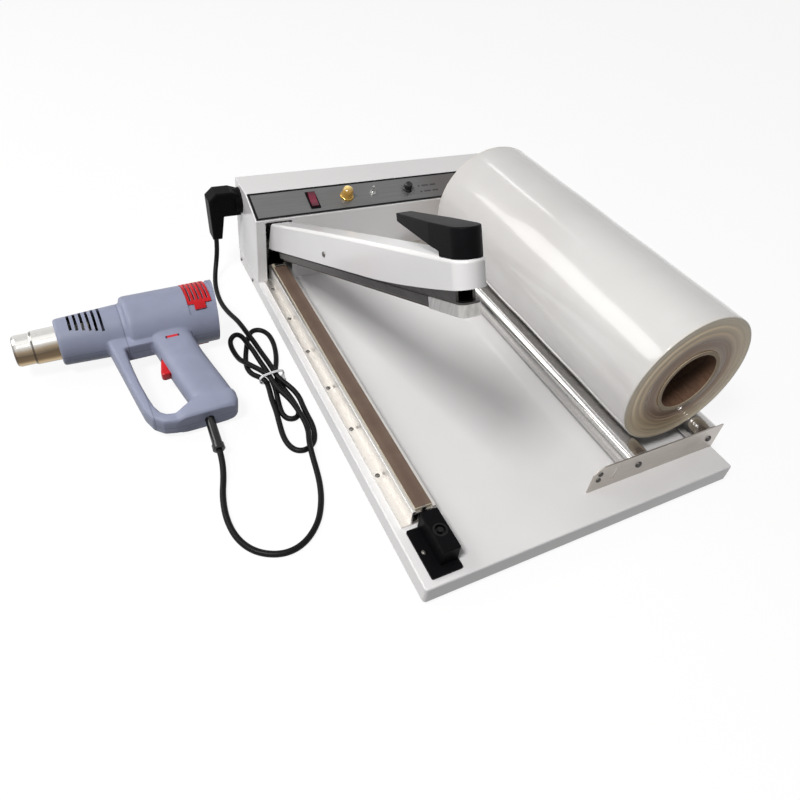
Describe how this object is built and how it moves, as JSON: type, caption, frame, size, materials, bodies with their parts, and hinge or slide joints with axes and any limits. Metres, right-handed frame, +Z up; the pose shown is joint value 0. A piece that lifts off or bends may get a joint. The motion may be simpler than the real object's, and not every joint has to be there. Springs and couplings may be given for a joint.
{
  "type": "sleeve sealer",
  "caption": "Bench sleeve sealer: a sprung sealing arm over a heated bed, a film roll on rollers, a rear control box, and a hot-air gun on a corded plug",
  "frame": {"origin": "Centre of the footprint of everything except the cord, on the plane the feet and the gun stand on", "axes": "+X to the machine's right, away from the gun, +Y to its rear, +Z up"},
  "size_m": [0.7674, 0.6604, 0.3723],
  "materials": {
    "white_paint": "smooth satin powder coat",
    "panel_metal": "brushed dark grey",
    "black_plastic": "fine satin",
    "gloss_black": "gloss",
    "red_plastic": "gloss",
    "amber": "translucent, gloss",
    "brass": "plated",
    "chrome": "polished",
    "steel": "zinc plated",
    "bracket_steel": "zinc plated, satin",
    "dark_steel": "dark grey paint",
    "bed_aluminium": "satin anodised",
    "insulator": "matte",
    "coated_fabric": "smooth coated glass cloth",
    "silicone": "matte",
    "black_rubber": "matte",
    "cord_black": "satin",
    "tie_white": "matte",
    "film": "wound clear film, glossy, milky",
    "cardboard": "matte wound paper",
    "gun_grey": "fine satin moulding",
    "ceramic": "matte",
    "iron": "varnished laminations",
    "board": "solder resist"
  },
  "bodies": {
    "machine": {"base_tray": "white_paint", "rubber_feet": "black_rubber", "pan_screws": "steel", "control_box_housing": "white_paint", "control_panel": "panel_metal", "rocker_switch_body": "black_plastic", "pilot_lamp_body": "brass", "pilot_lamp_lens": "amber", "toggle_switch_body": "chrome", "timer_potentiometer": "steel", "outlet_socket": "black_plastic", "power_plug": "cord_black", "transformer": "iron", "timer_board": "board", "mains_gland": "black_plastic", "seal_bed": "bed_aluminium", "heater_insulator": "insulator", "heating_wire": "steel", "teflon_strip": "coated_fabric", "wire_clamps": "brass", "magnet_block": "black_plastic", "holding_magnet": "steel", "roller_brackets": "bracket_steel", "roller_axles": "steel", "axle_screws": "steel", "pivot_bracket": "dark_steel", "pivot_shaft": "steel", "return_spring": "steel", "gun_left_shell": "gun_grey", "gun_right_shell": "gun_grey", "gun_screws": "steel", "gun_nozzle": "chrome", "gun_heater": "ceramic", "gun_motor": "steel", "gun_strain_relief": "black_rubber", "cord_to_hank": "cord_black", "cord_to_gun": "cord_black", "cord_hank": "cord_black", "hank_tie": "tie_white"},
    "arm": {"arm_cover": "white_paint", "arm_channel": "dark_steel", "arm_thin_plate": "dark_steel", "pressure_bar": "bed_aluminium", "silicone_strip": "silicone", "armature_plate": "bracket_steel", "arm_handle": "black_plastic", "arm_screws": "steel", "pivot_bushes": "insulator"},
    "film": {"film_roll": "film", "film_core": "cardboard"},
    "left_roller_body": {"left_roller": "chrome", "left_roller_bushes": "insulator"},
    "right_roller_body": {"right_roller": "chrome", "right_roller_bushes": "insulator"},
    "rocker": {"rocker_button": "red_plastic"},
    "toggle": {"toggle_lever": "chrome"},
    "timer": {"timer_knob": "gloss_black"},
    "trigger": {"gun_trigger": "red_plastic"},
    "shutter": {"gun_air_shutter": "red_plastic"},
    "impeller": {"gun_impeller": "black_plastic"}
  },
  "joints": [
    {"name": "arm_hinge", "type": "hinge", "parent": "machine", "child": "arm", "pos_m": [-0.02813, 0.24855, 0.076], "axis": [1, 0, 0], "range_deg": [0, 26.3], "stiffness_Nm_per_rad": 4, "springref_deg": -97.4, "deforming": ["return_spring"]},
    {"name": "film_spin", "type": "hinge", "parent": "machine", "child": "film", "pos_m": [0.29367, -0.04925, 0.14021], "axis": [0, 1, 0], "continuous": true},
    {"name": "left_roller_spin", "type": "hinge", "parent": "machine", "child": "left_roller_body", "pos_m": [0.23607, -0.04625, 0.0485], "axis": [0, 1, 0], "continuous": true},
    {"name": "right_roller_spin", "type": "hinge", "parent": "machine", "child": "right_roller_body", "pos_m": [0.35127, -0.04625, 0.0485], "axis": [0, 1, 0], "continuous": true},
    {"name": "rocker_tilt", "type": "hinge", "parent": "machine", "child": "rocker", "pos_m": [0.03137, 0.24002, 0.13803], "axis": [1, 0, 0], "range_deg": [-16, 0]},
    {"name": "toggle_tilt", "type": "hinge", "parent": "machine", "child": "toggle", "pos_m": [0.12737, 0.23846, 0.14236], "axis": [1, 0, 0], "range_deg": [0, 24]},
    {"name": "timer_turn", "type": "hinge", "parent": "machine", "child": "timer", "pos_m": [0.18687, 0.23799, 0.14368], "axis": [0, -0.3387, 0.9409], "range_deg": [-270, 0]},
    {"name": "trigger_pull", "type": "slide", "parent": "machine", "child": "trigger", "axis": [0.9986, 0.0523, 0], "range_m": [0, 0.004], "stiffness_N_per_m": 700, "springref_m": -0.001},
    {"name": "shutter_slide", "type": "slide", "parent": "machine", "child": "shutter", "axis": [0.9986, 0.0523, 0], "range_m": [0, 0.005]},
    {"name": "impeller_spin", "type": "hinge", "parent": "machine", "child": "impeller", "pos_m": [-0.22303, 0.14798, 0.0413], "axis": [0.9986, 0.0523, 0], "continuous": true}
  ],
  "couplings": [
    {"joint": "left_roller_spin", "follows": "film_spin", "ratio": -5},
    {"joint": "right_roller_spin", "follows": "film_spin", "ratio": -5}
  ]
}
